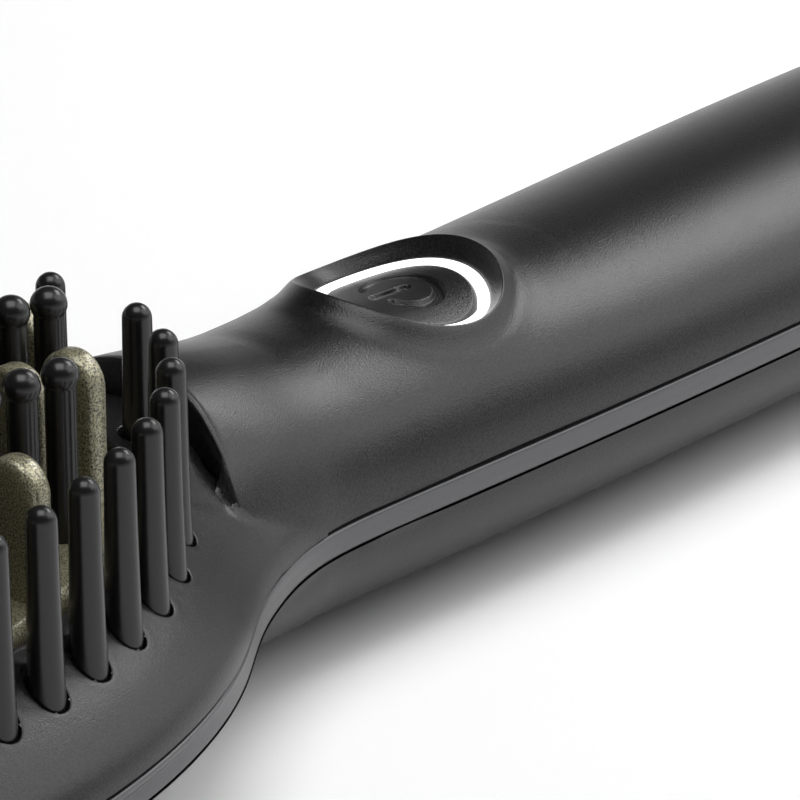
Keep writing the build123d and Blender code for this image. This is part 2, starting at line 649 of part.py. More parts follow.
def bush_retainer():
    """Plate across the handle that keeps the swivel's flange against the tail cap."""
    plate = block(RETAINER_X, 0, RETAINER_THICKNESS, RETAINER_WIDTH, RETAINER_SEAT, RETAINER_TOP)
    return plate - lengthwise(BUSH_NECK_RADIUS + RUNNING_FIT, RETAINER_X - RETAINER_THICKNESS, FLANGE_START)


def tail_cap():
    """Rounded cap that closes the tail round the swivel."""
    stations = ((SHELL_END, HANDLE_WIDTHS[-1][1], 11.5), (135.0, 16.2, 10.4), (137.5, 14.0, 8.9),
                (138.6, 11.6, 7.6))
    faces = [Plane(origin=(x, 0, BUSH_Z), x_dir=(0, 1, 0), z_dir=(1, 0, 0)) * Ellipse(w, h)
             for x, w, h in stations]
    return loft(faces) - lengthwise(BUSH_RADIUS + RUNNING_FIT, 130, 141)


def write_all():
    """Build every piece and write one file for each."""
    os.makedirs("parts", exist_ok=True)
    pieces = {
        "top_shell": top_shell(),
        "bottom_shell": bottom_shell(),
        "side_trim": side_trim(),
        "heater_plate": heater_plate(),
        "bristle_carrier": bristle_carrier(),
        "guard_carrier": guard_carrier(),
        "heating_elements": heating_elements(),
        "insulating_sheets": insulating_sheets(),
        "temperature_sensor": temperature_sensor(),
        "thermal_cutout": thermal_cutout(),
        "plate_screws": Compound(children=[screw(x, y, CARRIER_BOTTOM, PLATE_SCREW_TIP, True)
                                           for x, y in PLATE_SCREW_PLACES]),
        "carrier_screws": Compound(children=[screw(x, y, SCREW_SEAT, CARRIER_SCREW_TIP, True)
                                             for x, y in CARRIER_SCREW_PLACES]),
        "housing_screws": Compound(children=[screw(x, 0, SCREW_SEAT, HOUSING_SCREW_TIP, True)
                                             for x in HOUSING_SCREW_XS]),
        "board_screws": Compound(children=[screw(x, y, BOARD_TOP, BOARD_BOTTOM - BOARD_SCREW_REACH, False)
                                           for x, y in BOARD_SCREW_PLACES]),
        "button_bezel": button_bezel(),
        "light_ring": light_ring(),
        "power_button": power_button(),
        "switch_plunger": switch_plunger(),
        "tact_switch": tact_switch(),
        "indicator_leds": indicator_leds(),
        "circuit_board": circuit_board(),
        "smoothing_capacitor": block(50.0, -3.0, 12.0, 8.0, BOARD_TOP, BOARD_TOP + 5.0),
        "power_switch_chip": block(32.0, 4.0, 10.0, 5.0, BOARD_TOP, BOARD_TOP + 3.5),
        "heater_leads": heater_leads(),
        "supply_leads": supply_leads(),
        "contact_holder": contact_holder(),
        "swivel_contacts": swivel_contacts(),
        "slip_rings": slip_rings(),
        "cord_bush": cord_bush(),
        "bush_retainer": bush_retainer(),
        "tail_cap": tail_cap(),
    }
    for name, piece in pieces.items():
        export_step(piece, f"parts/{name}.step")


if __name__ == "__main__":
    write_all()
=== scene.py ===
import json
import math

import bmesh
import bpy
import numpy as np
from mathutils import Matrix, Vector


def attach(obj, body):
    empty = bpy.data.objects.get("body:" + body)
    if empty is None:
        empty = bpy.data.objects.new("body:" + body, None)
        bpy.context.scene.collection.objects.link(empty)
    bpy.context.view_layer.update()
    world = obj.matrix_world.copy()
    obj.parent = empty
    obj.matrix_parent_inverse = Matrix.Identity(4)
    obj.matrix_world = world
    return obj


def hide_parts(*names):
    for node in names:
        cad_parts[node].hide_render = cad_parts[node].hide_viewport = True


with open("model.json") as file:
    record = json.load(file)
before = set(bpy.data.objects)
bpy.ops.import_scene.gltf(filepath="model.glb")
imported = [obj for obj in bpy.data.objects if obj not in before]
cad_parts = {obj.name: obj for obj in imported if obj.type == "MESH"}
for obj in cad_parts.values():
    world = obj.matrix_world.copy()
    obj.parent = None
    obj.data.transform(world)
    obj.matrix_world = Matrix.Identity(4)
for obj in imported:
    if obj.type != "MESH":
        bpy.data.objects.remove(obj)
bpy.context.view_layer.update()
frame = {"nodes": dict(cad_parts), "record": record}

# Bottom shell: the back of the head and the belly of the handle in one moulding.
# Glass-filled nylon with a satin soft-touch lacquer, domed from its flat foot up to the seam.
# Head and handle share one outline, and the shell's height follows from how far in a point lies.
HEAD_X = -86.5
HEAD_RADII = (58.5, 38.0)
SHELL_END = 131.0
SEAM_LOW = 12.85
NECK = ((-36.4, 21.1), (-32.0, 18.9), (-27.4, 17.1), (-22.4, 15.95))
HALF_WIDTHS = ((-52.0, 9.0), (-45.0, 13.5), (-37.0, 16.2), (-30.5, 16.3), (-24.0, 16.0), (-15.0, 15.7),
               (-5.0, 16.2), (7.0, 16.9), (27.0, 17.9), (60.0, 18.9), (100.0, 19.1), (122.0, 18.3),
               (131.0, 17.4))
BELLIES = ((-52.0, 6.5), (-45.0, 3.9), (-37.0, 1.9), (-30.5, 1.5), (-24.0, 1.2), (-15.0, 0.8), (-5.0, 0.6),
           (7.0, 0.5), (27.0, 0.45), (60.0, 0.45), (100.0, 0.7), (122.0, 1.9), (131.0, 2.8))
BACK_ROUNDING = ((0.0, 12.85), (0.25, 12.6), (5.0, 10.6), (9.0, 8.9), (13.0, 7.1), (17.5, 3.7), (20.0, 1.4),
                 (21.5, 0.4), (23.0, 0.02), (38.0, 0.02))


def smooth_line(points, count):
    """A natural cubic through points, sampled evenly along their chord lengths."""
    points = np.array(points, float)
    knots = np.concatenate(([0.0], np.cumsum(np.linalg.norm(np.diff(points, axis=0), axis=1))))
    gaps = np.diff(knots)
    system = np.eye(len(knots))
    right = np.zeros_like(points)
    for i in range(1, len(knots) - 1):
        system[i, i - 1:i + 2] = gaps[i - 1], 2 * (gaps[i - 1] + gaps[i]), gaps[i]
        right[i] = 6 * ((points[i + 1] - points[i]) / gaps[i] - (points[i] - points[i - 1]) / gaps[i - 1])
    bends = np.linalg.solve(system, right)
    where = np.linspace(0.0, knots[-1], count)
    i = np.clip(np.searchsorted(knots, where, side="right") - 1, 0, len(gaps) - 1)
    before, after, gap = (where - knots[i])[:, None], (knots[i + 1] - where)[:, None], gaps[i][:, None]
    return (bends[i] * after ** 3 / (6 * gap) + bends[i + 1] * before ** 3 / (6 * gap)
            + (points[i] / gap - bends[i] * gap / 6) * after
            + (points[i + 1] / gap - bends[i + 1] * gap / 6) * before)


def along(stations, x):
    """A smooth value at x from stations given along the brush."""
    line = smooth_line(stations, 600)
    return np.interp(x, line[:, 0], line[:, 1])


def outline_side():
    """One side of the brush seen from above, from the nose to the end of the shells."""
    points = [(HEAD_X - HEAD_RADII[0] * math.cos(math.radians(a)),
               HEAD_RADII[1] * math.sin(math.radians(a))) for a in range(0, 136, 5)]
    points += list(NECK) + [p for p in HALF_WIDTHS if p[0] > NECK[-1][0] + 1.0]
    return smooth_line(points, 900)


OUTLINE = outline_side()


def half_width(x):
    """Half-width of the outline at x, anywhere behind the widest part of the head."""
    behind = OUTLINE[OUTLINE[:, 0] > HEAD_X]
    return np.interp(x, behind[:, 0], behind[:, 1])


def inset_of(x, y):
    """How far a point lies inside the outline."""
    start, run = OUTLINE[:-1], np.diff(OUTLINE, axis=0)
    flat = np.stack([np.ravel(x), np.abs(np.ravel(y))], axis=1)
    found = np.empty(len(flat))
    for part in np.array_split(np.arange(len(flat)), max(1, len(flat) // 400)):
        offset = flat[part][:, None, :] - start[None]
        share = np.clip((offset * run).sum(2) / (run ** 2).sum(1), 0, 1)
        found[part] = np.linalg.norm(offset - share[..., None] * run, axis=2).min(1)
    return found.reshape(np.shape(x))


def rounding(levels, inset):
    """Height of a rounded side from how far in a point lies."""
    line = smooth_line(levels, 900)
    return np.interp(inset, line[:, 0], line[:, 1])


def ease(value, low, high):
    """Rises softly from 0 at low to 1 at high."""
    share = np.clip((value - low) / (high - low), 0, 1)
    return share * share * (3 - 2 * share)


def soft_max(a, b, softness):
    """The larger of two heights, with the corner between them rounded."""
    return 0.5 * (a + b + np.sqrt((a - b) ** 2 + softness ** 2 + 1e-12))


def arch(x, y, seam, crests):
    """Height of the handle's elliptic section above or below its seam."""
    width = np.minimum(along(HALF_WIDTHS, x), half_width(x))
    share = np.abs(y) / width
    rise = np.sqrt(np.clip(1 - share ** 2, 0, 1)) - 3 * np.clip(share - 1, 0, None)
    return seam + (along(crests, x) - seam) * rise


def back_height(x, y):
    """Height of the bottom shell's outside."""
    inset = inset_of(x, y)
    softness = 2.0 * ease(inset, 0, 4) * (1 - ease(x, -24, -8))
    head = np.where(x < -16, rounding(BACK_ROUNDING, inset), 40.0)
    belly = np.where(x > -51, arch(np.maximum(x, -51.0), y, SEAM_LOW, BELLIES), 40.0)
    return np.maximum(-soft_max(-head, -belly, softness), 0.02)


def skin(name, columns, body="handle", around=False, over=False, flip=False):
    """A smooth quad skin through a grid of points in millimetres, riding on a body."""
    columns = np.asarray(columns, float)
    across, down = columns.shape[:2]
    faces = []
    for i in range(across if around else across - 1):
        for j in range(down if over else down - 1):
            a, b = i * down + j, i * down + (j + 1) % down
            c, d = ((i + 1) % across) * down + (j + 1) % down, ((i + 1) % across) * down + j
            faces.append((a, d, c, b) if flip else (a, b, c, d))
    mesh = bpy.data.meshes.new(name)
    mesh.from_pydata((columns.reshape(-1, 3) * 0.001).tolist(), [], faces)
    mesh.shade_smooth()
    piece = bpy.data.objects.new(name, mesh)
    bpy.context.scene.collection.objects.link(piece)
    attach(piece, body)
    return piece


def open_up(piece, places, radius):
    """Takes away a skin's faces round each upright hole, where a hole's lip covers the ragged edge."""
    made = bmesh.new()
    made.from_mesh(piece.data)
    middles = np.array([face.calc_center_median() for face in made.faces]) * 1000
    near = np.zeros(len(middles), bool)
    for x, y in places:
        near |= np.hypot(middles[:, 0] - x, middles[:, 1] - y) < radius
    bmesh.ops.delete(made, geom=[face for face, gone in zip(made.faces[:], near) if gone], context="FACES")
    made.to_mesh(piece.data)
    made.free()


def hole_lip(name, place, radius, reach, height_of, end, facing):
    """The edge and wall of an upright hole in a skin that faces up (1) or down (-1)."""
    angles = np.linspace(0, 2 * math.pi, 48, endpoint=False)[:, None]
    radii = np.array((reach, 0.6 * reach + 0.4 * radius, radius + 0.25, radius + 0.1, radius + 0.02))[None]
    x, y = place[0] + radii * np.cos(angles), place[1] + radii * np.sin(angles)
    proud = np.array((0.0, 0.025, 0.025, 0.01, -0.08))
    z = height_of(x, y) + facing * proud
    lip = np.stack([x, y, z], axis=2)
    foot = lip[:, -1:].copy()
    foot[..., 2] = end
    return skin(name, np.concatenate([lip, foot], axis=1), around=True, flip=facing > 0)


class Wire:
    """One socket of a finish, so that shader sums are written as Python sums."""

    def __init__(self, finish, socket):
        self.finish = finish
        self.socket = socket

    def maths(self, operation, first, second):
        return self.finish.node("Math", {"operation": operation}, {0: first, 1: second})

    def __add__(self, other):
        return self.maths("ADD", self, other)

    def __radd__(self, other):
        return self.maths("ADD", other, self)

    def __mul__(self, other):
        return self.maths("MULTIPLY", self, other)

    def __rmul__(self, other):
        return self.maths("MULTIPLY", other, self)

    def above(self, low, high):
        """0 below low and 1 above high, with a soft step between."""
        return self.finish.node("MapRange", {"interpolation_type": "SMOOTHSTEP"},
                                {"Value": self, "From Min": low, "From Max": high})


class Finish:
    """A material being made: its shader, its constants, and one method that adds any other node."""

    def __init__(self, name, **constants):
        self.material = bpy.data.materials.new(name)
        self.material.use_nodes = True
        self.tree = self.material.node_tree
        self.shader = self.tree.nodes["Principled BSDF"]
        for socket, value in constants.items():
            self.shader.inputs[socket.replace("_", " ")].default_value = value

    def node(self, kind, settings=None, sockets=None, output=0):
        made = self.tree.nodes.new("ShaderNode" + kind)
        for name, value in (settings or {}).items():
            setattr(made, name, value)
        for name, value in (sockets or {}).items():
            self.feed(made.inputs[name], value)
        return Wire(self, made.outputs[output])

    def feed(self, socket, value):
        if isinstance(value, Wire):
            self.tree.links.new(value.socket, socket)
        else:
            socket.default_value = value

    def place(self):
        return self.node("TexCoord", output="Object")

    def noise(self, scale, detail=2.0, roughness=0.5):
        return self.node("TexNoise", None, {"Vector": self.place(), "Scale": scale, "Detail": detail,
                                            "Roughness": roughness}, "Fac")

    def blend(self, share, first, second):
        return self.node("Mix", {"data_type": "RGBA"},
                         {"Factor": share, "A": (*first, 1), "B": (*second, 1)}, 2)

    def relief(self, height, depth, strength=1.0):
        bump = self.node("Bump", None, {"Height": height, "Distance": depth, "Strength": strength})
        self.feed(self.shader.inputs["Normal"], bump)

    def on(self, *pieces):
        for piece in pieces:
            piece.data.materials.clear()
            piece.data.materials.append(self.material)
        return self.material


def soft_touch():
    """Satin lacquer: near black, with a fine orange-peel grain and slow changes in its sheen."""
    lacquer = Finish("soft_touch_lacquer")
    grain = lacquer.noise(5000, 2.0, 0.6)
    cloud = lacquer.noise(90, 2.0)
    lacquer.feed(lacquer.shader.inputs["Base Color"],
                 lacquer.blend(grain.above(0.35, 0.65), (0.0005, 0.0005, 0.0005), (0.016, 0.016, 0.0165)))
    lacquer.feed(lacquer.shader.inputs["Roughness"], 0.23 + grain * 0.1 + cloud * 0.04)
    lacquer.relief(grain, 0.00005, 0.7)
    return lacquer


def back_columns():
    """Lines of points from the seam to the middle of the belly, all round the brush."""
    picks = np.unique(np.concatenate((np.arange(0, 330, 3), np.arange(330, 480, 2),
                                      np.arange(480, 900, 4), [899])))
    edge = OUTLINE[picks]
    spine_x = np.where(edge[:, 0] < HEAD_X, HEAD_X, edge[:, 0])
    reach = (HEAD_RADII[0] ** 2 - HEAD_RADII[1] ** 2) / HEAD_RADII[0]
    turn = np.clip((edge[:, 0] - HEAD_X) / HEAD_RADII[0], -1, 0.7)
    blend = ease(edge[:, 0], -50.0, -14.0)
    spine_x = (1 - blend) * (HEAD_X + reach * turn) + blend * edge[:, 0]
    steps = np.linspace(0, 1, 34) ** 1.9
    half = []
    for (x, y), middle in zip(edge, spine_x):
        half.append(np.stack([x + (middle - x) * steps, y * (1 - steps)], axis=1))
    return np.array(half)


def both_sides(half, height_of):
    """Adds heights to one half's columns and mirrors them across the middle."""
    height = height_of(half[..., 0], half[..., 1])
    right = np.concatenate([half, height[..., None]], axis=2)
    left = right[:, ::-1][:, 1:] * (1, -1, 1)
    return np.concatenate([right, left], axis=1)


bottom_shell = skin("bottom_shell_skin", both_sides(back_columns(), back_height))
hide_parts("bottom_shell")
lacquer = soft_touch()
lacquer.on(bottom_shell)
SCREW_SEAT = 9.0
SCREW_PLACES = [(-21.0, 0.0), (84.0, 0.0), (108.0, 0.0)]
SCREW_PLACES += [(HEAD_X + 30.0 * end, 15.0 * side) for end in (-1, 1) for side in (-1, 1)]
open_up(bottom_shell, SCREW_PLACES, 3.2)
for number, screw_place in enumerate(SCREW_PLACES):
    recess = hole_lip(f"screw_recess_{number}", screw_place, 2.5, 5.2, back_height, SCREW_SEAT, -1)
    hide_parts("bottom_shell")
    lacquer.on(recess)

# Top shell: the deck round the heater window, the shoulder the guard pins rise from, and the handle.
# The same lacquered nylon. A crescent step drops from the handle to the deck.
SEAM_HIGH = 16.2
CRESTS = ((-52.0, 32.1), (-37.0, 32.1), (-30.5, 31.8), (-24.0, 30.7), (-15.0, 29.4), (-5.0, 28.9),
          (7.0, 28.8), (27.0, 28.5), (60.0, 28.5), (100.0, 28.1), (122.0, 26.9), (131.0, 25.8))
SHOULDER = ((0.0, 16.2), (0.08, 17.0), (0.5, 18.2), (1.9, 20.0), (4.0, 22.0), (6.1, 23.7), (8.5, 25.9),
            (10.3, 27.3), (13.0, 28.4), (20.0, 29.0))
WINDOW_RADII = (47.2, 27.7)
STEP_X, STEP_RADIUS, STEP_REACH = -79.0, 48.0, 14.2
COLLAR_X, COLLAR_RADII = 6.4, (10.8, 10.4)
TIP = (STEP_X + math.sqrt(STEP_RADIUS ** 2 - STEP_REACH ** 2), STEP_REACH)


def past_border(x, y):
    """How far a point lies on the handle's side of the line from the crescent's tip to the outline."""
    return (x - TIP[0]) * 0.93 - (np.abs(y) - TIP[1]) * 0.37


def collar_reach(x, y):
    """How far out a point is from the collar's axis, where 1 is its rim."""
    return np.hypot((x - COLLAR_X) / COLLAR_RADII[0], y / COLLAR_RADII[1])


def rim_height(x, y):
    """The saddle that the collar's rim lies on."""
    return 30.57 - 0.033 * (x - 7.0) - 0.028 * y ** 2


def handle_height(x, y):
    """Height of the handle's outside with the swelling round the button."""
    plain = arch(x, y, SEAM_HIGH, CRESTS)
    out = (collar_reach(x, y) - 1) * COLLAR_RADII[1]
    flank = rim_height(x, y) - 0.25 * out - 0.55 * np.clip(out, 0, None) ** 1.6
    softness = 1.6 * ease(out, 0, 2.5)
    return np.where(out < 9, soft_max(plain, flank, softness * (out < 9)), plain)


def deck_height(x, y):
    """Height of the head's shoulder and deck."""
    return rounding(SHOULDER, inset_of(x, y))


def from_step(x, y):
    """How far a point lies from the crescent's centre, counted only on the handle's side of it."""
    return np.where(x > STEP_X, np.hypot(x - STEP_X, y), 0.0)


def shell_height(x, y):
    """Height of the top shell where head and handle run together."""
    inset = inset_of(x, y)
    within = np.clip(STEP_RADIUS - from_step(x, y), 0, None)
    from_tip = np.hypot(x - TIP[0], np.abs(y) - TIP[1])
    softness = 2.4 * ease(inset, 0, 4) * ease(from_tip, 0, 7) * (1 - ease(x, -26, -12))
    head = np.where(x < -16, rounding(SHOULDER, inset), 0.0)
    return soft_max(head, handle_height(x, y) - 1.5 * within, softness)


def deck_surface(x, y):
    """Height of the deck in front of the crescent and of the shoulder beside it."""
    return np.where(np.abs(y) < STEP_REACH, deck_height(x, y), shell_height(x, y))


def deck_columns():
    """Lines of points from the outline in to the heater window, all round the head."""
    columns = []
    start = HEAD_X + HEAD_RADII[0] * math.cos(math.radians(45))
    flare = OUTLINE[(OUTLINE[:, 0] > start) & (OUTLINE[:, 0] < -21.5)]
    for angle in np.linspace(0, 180, 150):
        radians = math.radians(angle)
        if angle >= 45:
            edge = np.array((HEAD_X + HEAD_RADII[0] * math.cos(radians), HEAD_RADII[1] * math.sin(radians)))
        elif angle >= 14:
            share = (45 - angle) / 31 * (len(flare) - 1)
            edge = flare[int(round(share))]
        else:
            edge = np.array((flare[-1][0], flare[-1][1] * angle / 14))
        window = np.array((HEAD_X + WINDOW_RADII[0] * math.cos(radians),
                           WINDOW_RADII[1] * math.sin(radians)))
        steps = np.linspace(0, 1, 40) ** 1.5
        columns.append(edge + (window - edge) * steps[:, None])
    return np.array(columns)


def deck_points():
    """The deck's skin with its trench before the crescent and the rolled edge of the heater window."""
    half = deck_columns()
    x, y = half[..., 0], half[..., 1]
    out = from_step(x, y)
    hidden = ease(out, STEP_RADIUS - 0.6, STEP_RADIUS + 0.4) * (1 - ease(np.abs(y), 12.6, 14.3))
    under = ease(out, STEP_RADIUS - 1, STEP_RADIUS) * 0.02
    trench = 2.6 * ease(out, STEP_RADIUS - 1.0, STEP_RADIUS - 0.7) * (1 - ease(np.abs(y), 8.5, 12.0))
    height = np.where(out < STEP_RADIUS, deck_surface(x, y), shell_height(x, y) - 5.0 * hidden)
    height = height - trench * (out < STEP_RADIUS + 8) - under
    height = height - 0.3 * ease(past_border(x, y), 0, 2.5) * (np.abs(y) > STEP_REACH)
    right = np.concatenate([half, height[..., None]], axis=2)
    lip = right[:, -1:].copy()
    rounded = []
    centre = np.array((HEAD_X, 0, 0))
    for inward, drop in ((0.12, 0.03), (0.22, 0.12), (0.28, 0.3), (0.3, 3.0), (0.3, 7.0)):
        ring = lip.copy()
        flat = ring[..., :2] - centre[:2]
        ring[..., :2] = centre[:2] + flat * (1 - inward / np.linalg.norm(flat, axis=2, keepdims=True))
        ring[..., 2] -= drop
        rounded.append(ring)
    right = np.concatenate([right] + rounded, axis=1)
    left = (right[::-1] * (1, -1, 1))[1:-1]
    return np.concatenate([right, left], axis=0)


deck = skin("deck_skin", deck_points(), around=True)
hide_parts("top_shell")
lacquer.on(deck)


def handle_start(share):
    """Where the handle's skin begins for each line along it: the crescent, then out to the side."""
    low, high = -48.0, -20.0
    for _ in range(40):
        x = (low + high) / 2
        y = float(half_width(x)) * math.sin(math.pi / 2 * abs(share))
        if y <= STEP_REACH:
            beyond = math.hypot(x - STEP_X, y) - STEP_RADIUS
        else:
            beyond = past_border(x, y)
        low, high = (low, x) if beyond > 0 else (x, high)
    return (low + high) / 2


def handle_points():
    """The handle's skin, from the crescent's wall and lip and the tuck beside them to the tail."""
    shares = np.linspace(-1, 1, 161)
    starts = np.array([handle_start(s) for s in shares])
    ahead = np.concatenate(([0, 0.15, 0.3, 0.42, 0.5, 0.58, 0.7, 0.95, 1.4, 2.0, 2.8],
                            np.arange(3.6, 24, 0.9)))
    steps = np.concatenate((ahead, np.linspace(ahead[-1] + 0.6, 68, 72), np.linspace(69.5, 162, 52)))
    steps = steps / 162.0
    x = starts[:, None] + (SHELL_END - starts)[:, None] * steps[None]
    y = half_width(x) * np.sin(math.pi / 2 * shares)[:, None]
    height = shell_height(x, y)
    reach = collar_reach(x, y)
    sunk = 6.0 * (1 - ease(reach, 0.93, 1.0)) + 0.15 * (1 - ease(reach, 1.06, 1.13))
    out = np.hypot(x - STEP_X, y) - STEP_RADIUS
    near = 1 - ease(np.abs(y), STEP_REACH - 2.5, STEP_REACH)
    edge = -0.22 * np.clip(1 - out / 0.3, 0, 1) ** 2 - 0.14 * np.exp(-((out - 0.58) / 0.09) ** 2)
    height = height - sunk + edge * near * (out < 2)
    points = np.stack([x, y, height], axis=2)
    wall = []
    foot = 26.5 - 2.1 * (y[:, 0] / 12.0) ** 2
    top = points[:, 0, 2]
    deep = 1 - near[:, :1]
    for inward, share, tuck in ((0.06, 0.06, 0.3), (0.1, 0.15, 0.6), (0.2, 0.5, 1.0), (0.34, 0.9, 1.4),
                                (0.36, 0.96, 1.8), (0.3, 1.0, 2.2), (0.25, 2.0, 2.6)):
        ring = points[:, 0].copy()
        direction = np.stack([ring[:, 0] - STEP_X, ring[:, 1]], axis=1)
        direction /= np.linalg.norm(direction, axis=1, keepdims=True)
        ring[:, :2] -= direction * (inward * (1 - deep) + tuck * deep)
        under = shell_height(ring[:, 0], ring[:, 1])
        under = under - 0.3 * ease(-past_border(ring[:, 0], ring[:, 1]), 0, 2.5)
        fall = top + (np.minimum(foot, top) - top) * share
        ring[:, 2] = fall * (1 - deep[:, 0]) + under * deep[:, 0]
        wall.append(ring)
    return np.concatenate([np.stack(wall[::-1], axis=1), points], axis=1)


handle = skin("handle_skin", handle_points(), flip=True)
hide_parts("top_shell")
lacquer.on(handle)

# Collar: the raised saddle rim round the button and the sloping bezel inside it.
# The rim is part of the top shell, and the bezel is pressed in and holds the light ring down.
LIGHT_RADII = (8.9, 7.95)
BUTTON_X = 7.0


def light_height(x, y):
    """The slightly tilted saddle that the light ring's face lies on."""
    return 28.4 - 0.033 * (x - BUTTON_X) - 0.026 * y ** 2


def collar_points():
    """The rim from its flank over its crest, and the bezel from there down to the light ring."""
    columns = []
    for angle in np.linspace(0, 2 * math.pi, 160, endpoint=False):
        cosine, sine = math.cos(angle), math.sin(angle)
        column = []
        for reach in (1.16, 1.12, 1.08, 1.05, 1.03, 1.012, 1.0):
            x, y = COLLAR_X + COLLAR_RADII[0] * reach * cosine, COLLAR_RADII[1] * reach * sine
            column.append((x, y, float(handle_height(np.float64(x), np.float64(y))) + 0.02))
        x, y, crest = column[-1]
        foot_x, foot_y = BUTTON_X + LIGHT_RADII[0] * cosine, LIGHT_RADII[0] * sine
        foot = float(light_height(foot_x, foot_y)) + 0.12
        for share, drop in ((0.03, 0.0), (0.07, 0.04), (0.11, 0.1), (0.5, 0.5), (0.86, 0.9), (0.93, 0.98),
                            (0.97, 1.05)):
            column.append((x + (foot_x - x) * share, y + (foot_y - y) * share,
                           crest + (foot - crest) * drop))
        column.append((foot_x, foot_y, foot - 0.6))
        column.append((foot_x, foot_y, foot - 3.0))
        columns.append(column)
    return columns


collar = skin("collar_and_bezel", collar_points(), around=True, flip=True)
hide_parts("button_bezel")
lacquer.on(collar)

# Light ring: a frosted clear sleeve that carries the lamps' light up round the button.
# It glows evenly white, and its edge is rounded where it meets the bezel.
def light_points():
    """The sleeve's outside, its narrow glowing face and its inside."""
    columns = []
    for angle in np.linspace(0, 2 * math.pi, 128, endpoint=False):
        column = []
        for radius, drop in ((8.88, 4.0), (8.88, 0.2), (8.82, 0.06), (8.7, 0.0), (8.15, 0.0), (8.03, 0.06),
                             (7.97, 0.2), (7.97, 4.0)):
            x, y = BUTTON_X + radius * math.cos(angle), radius * math.sin(angle)
            column.append((x, y, light_height(x, y) - drop))
        columns.append(column)
    return columns


glow_ring = skin("light_ring_glow", light_points(), around=True, flip=True)
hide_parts("light_ring")
glow = Finish("frosted_light_guide", Roughness=0.35, Emission_Strength=1.3)
haze = glow.noise(700, 2.0)
glow.feed(glow.shader.inputs["Base Color"], glow.blend(haze, (0.9, 0.9, 0.92), (0.95, 0.95, 0.96)))
glow.feed(glow.shader.inputs["Emission Color"], glow.blend(haze, (0.97, 0.98, 1.0), (1.0, 1.0, 1.0)))
glow.on(glow_ring)

# Power button: a cap moulded in the same nylon, bent as the collar is, with the power sign sunk into it.
# The sign is an open ring and a bar, pointing to the head.
PAD_RADIUS = 7.6
SIGN_RADIUS, SIGN_HALF_STROKE, SIGN_DEPTH = 3.75, 0.6, 0.5


def pad_height(x, y):
    """The bent face of the button with its sunk sign."""
    along_bar = np.clip(-x, -0.6, 4.3)
    bar = np.hypot(x + along_bar, y) - SIGN_HALF_STROKE
    radius, angle = np.hypot(x, y), np.abs(np.arctan2(y, -x))
    opening = math.radians(30)
    end = np.hypot(-x - SIGN_RADIUS * math.cos(opening), np.abs(y) - SIGN_RADIUS * math.sin(opening))
    ring = np.where(angle > opening, np.abs(radius - SIGN_RADIUS), end) - SIGN_HALF_STROKE
    sunk = SIGN_DEPTH * (1 - ease(np.minimum(bar, ring), -0.12, 0.02))
    edge = 0.35 * np.clip((radius - (PAD_RADIUS - 0.5)) / 0.5, 0, 1) ** 2
    return 28.0 - 0.05 * x + 0.0045 * x ** 2 - 0.03 * y ** 2 - sunk - edge


def pad_points():
    columns = []
    for angle in np.linspace(0, 2 * math.pi, 220, endpoint=False):
        radii = np.concatenate((np.linspace(0.01, 6.0, 62), np.linspace(6.3, PAD_RADIUS, 12)))
        x, y = radii * math.cos(angle), radii * math.sin(angle)
        column = np.stack([x + BUTTON_X, y, pad_height(x, y)], axis=1)
        foot = column[-1:] * (1, 1, 0) + (0, 0, 24.1)
        columns.append(np.concatenate([column, foot]))
    return columns


button = skin("power_button_cap", pad_points(), body="button_body", around=True)
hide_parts("power_button")
lacquer.on(button)

# Heater plate: die-cast aluminium with a rounded edge, coated in a speckled ceramic.
# Five rows of upright fins stand on it and heat the hair between the pins.
PLATE_RADII = (46.5, 27.0)
PLATE_TOP = 28.7
FIN_SIZE = (2.6, 6.4)
FIN_TOP = 46.6
FIN_PITCH, FIN_ROW_PITCH = 7.2, 10.7


def crown(height, x, y):
    """Tips fall away from the middle of the head."""
    return height - 0.0019 * (x - HEAD_X) ** 2 - 0.0087 * y ** 2


def plate_points():
    columns = []
    for angle in np.linspace(0, 2 * math.pi, 200, endpoint=False):
        cosine, sine = math.cos(angle), math.sin(angle)
        column = [(HEAD_X + (PLATE_RADII[0] - inset) * cosine, (PLATE_RADII[1] - inset) * sine,
                   PLATE_TOP - drop)
                  for inset, drop in ((0, 4.0), (0, 0.9), (0.08, 0.5), (0.3, 0.18), (0.6, 0.03), (0.9, 0.0),
                                      (8, 0.0))]
        column += [(HEAD_X + (PLATE_RADII[0] - 8) * share * cosine, (PLATE_RADII[1] - 8) * share * sine,
                    PLATE_TOP) for share in (0.8, 0.6, 0.4, 0.2, 0.01)]
        columns.append(column)
    return columns


plate = skin("heater_plate_face", plate_points(), around=True, flip=True)


def fin_points(x, y):
    """Slices of one fin from face to face, each drawn in where the edges are rounded."""
    top = crown(FIN_TOP, x, y)
    slices = []
    half = FIN_SIZE[0] / 2
    for place, inset in ((-half, 1.6), (-half, 0.62), (-half + 0.1, 0.34), (-half + 0.3, 0.12),
                         (-half + 0.65, 0.0), (half - 0.65, 0.0), (half - 0.3, 0.12), (half - 0.1, 0.34),
                         (half, 0.62), (half, 1.6)):
        radius = FIN_SIZE[1] / 2 - inset
        foot = [(y + radius + 0.35, PLATE_TOP - 0.2), (y + radius + 0.12, PLATE_TOP + 0.25),
                (y + radius, PLATE_TOP + 0.8)]
        dome = [(y + radius * math.cos(a), top - FIN_SIZE[1] / 2 + radius * math.sin(a))
                for a in np.linspace(0, math.pi, 21)]
        other = [(2 * y - across, z) for across, z in foot[::-1]]
        slices.append([(x + place, across, z) for across, z in foot + dome + other])
    return slices


